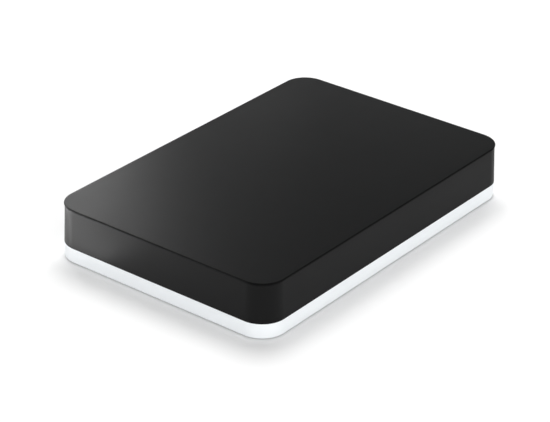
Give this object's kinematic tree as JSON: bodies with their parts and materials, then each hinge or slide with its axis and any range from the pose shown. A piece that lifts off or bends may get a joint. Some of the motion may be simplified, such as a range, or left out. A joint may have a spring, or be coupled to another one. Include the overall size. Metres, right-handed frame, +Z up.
{
  "type": "external hard drive",
  "caption": "Portable external hard drive: slim rounded case in black over white, with the spinning disk drive, bridge board and cable socket inside.",
  "frame": {"origin": "centre of the case's footprint, on the surface that its feet stand on", "axes": "+Z up through the top panel, +Y towards the rear wall with the cable socket, +X to the right"},
  "size_m": [0.079, 0.117, 0.0173],
  "materials": {
    "satin_black": "satin moulded plastic, fine even texture",
    "black_panel": "satin black sheet, fine even texture",
    "white_plastic": "smooth white moulded plastic, soft gloss",
    "grey_rubber": "matt soft rubber",
    "black_rubber": "matt soft rubber",
    "grey_foam": "open cell foam",
    "bridge_board_green": "glass fibre board under green lacquer",
    "drive_board_green": "glass fibre board under dark green lacquer",
    "chip_resin": "moulded black resin",
    "component_mix": "fired ceramic bodies with tinned ends",
    "screw_steel": "plated steel",
    "socket_steel": "bright tinned steel sheet",
    "connector_black": "glass filled black plastic",
    "led_white": "milky epoxy",
    "clear_plastic": "clear moulded plastic",
    "cast_aluminium": "die cast, fine grey passivated skin",
    "cover_steel": "stamped stainless sheet",
    "gasket_black": "thin foam rubber seal",
    "insulator_grey": "thin grey foam sheet",
    "gold_contact": "gold flash on copper alloy",
    "bearing_bronze": "bronze bearing metal",
    "motor_steel": "stacked electrical steel",
    "copper_wire": "lacquered copper winding wire",
    "machined_aluminium": "machined, bright",
    "magnet_dark": "bonded magnet ring",
    "platter_mirror": "polished thin film disc",
    "spring_steel": "thin stainless spring sheet",
    "slider_ceramic": "dark polished ceramic",
    "frame_plastic": "dark moulded plastic",
    "nickel_plate": "nickel plated steel",
    "magnet_nickel": "nickel plated sintered magnet",
    "stop_rubber": "firm black elastomer",
    "ramp_plastic": "slick natural moulded plastic",
    "flex_film": "amber polyimide film with copper tracks",
    "filter_paper": "white non-woven filter felt"
  },
  "bodies": {
    "case": {"top_panel": "black_panel", "upper_shell": "satin_black", "lower_shell": "white_plastic", "rubber_feet": "grey_rubber", "corner_bumpers": "black_rubber", "upper_foam_pad": "grey_foam", "lower_foam_pad": "grey_foam", "bridge_board": "bridge_board_green", "bridge_chip": "chip_resin", "bridge_small_parts": "component_mix", "bridge_screws": "screw_steel", "usb_socket_shell": "socket_steel", "usb_socket_tongues": "connector_black", "usb_contacts": "gold_contact", "sata_receptacle": "connector_black", "activity_led": "led_white", "light_pipe": "clear_plastic", "drive_base": "cast_aluminium", "drive_cover": "cover_steel", "cover_gasket": "gasket_black", "cover_screws": "screw_steel", "drive_board": "drive_board_green", "controller_chip": "chip_resin", "memory_chip": "chip_resin", "motor_chip": "chip_resin", "board_small_parts": "component_mix", "board_insulator": "insulator_grey", "board_screws": "screw_steel", "drive_connector": "connector_black", "drive_contacts": "gold_contact", "motor_sleeve": "bearing_bronze", "stator_core": "motor_steel", "stator_coils": "copper_wire", "pivot_shaft": "screw_steel", "lower_magnet_plate": "nickel_plate", "upper_magnet_plate": "nickel_plate", "lower_magnet": "magnet_nickel", "upper_magnet": "magnet_nickel", "magnet_posts": "screw_steel", "crash_stops": "stop_rubber", "head_ramp": "ramp_plastic", "ramp_screw": "screw_steel", "head_flex": "flex_film", "flex_bracket": "frame_plastic", "air_filter": "filter_paper", "breather_cartridge": "filter_paper"},
    "spindle": {"spindle_hub": "machined_aluminium", "rotor_magnet": "magnet_dark", "lower_platter": "platter_mirror", "upper_platter": "platter_mirror", "platter_spacer": "machined_aluminium", "platter_clamp": "spring_steel", "clamp_screw": "screw_steel"},
    "arm": {"arm_block": "machined_aluminium", "pivot_sleeve": "machined_aluminium", "head_suspensions": "spring_steel", "head_sliders": "slider_ceramic", "coil_frame": "frame_plastic", "voice_coil": "copper_wire"}
  },
  "joints": [
    {"name": "spindle_spin", "type": "hinge", "parent": "case", "child": "spindle", "pos_m": [0, -0.01947, 0.008], "axis": [0, 0, 1], "continuous": true},
    {"name": "arm_swing", "type": "hinge", "parent": "case", "child": "arm", "pos_m": [0.013, 0.01903, 0.009], "axis": [0, 0, 1], "range_deg": [0, 32]}
  ]
}
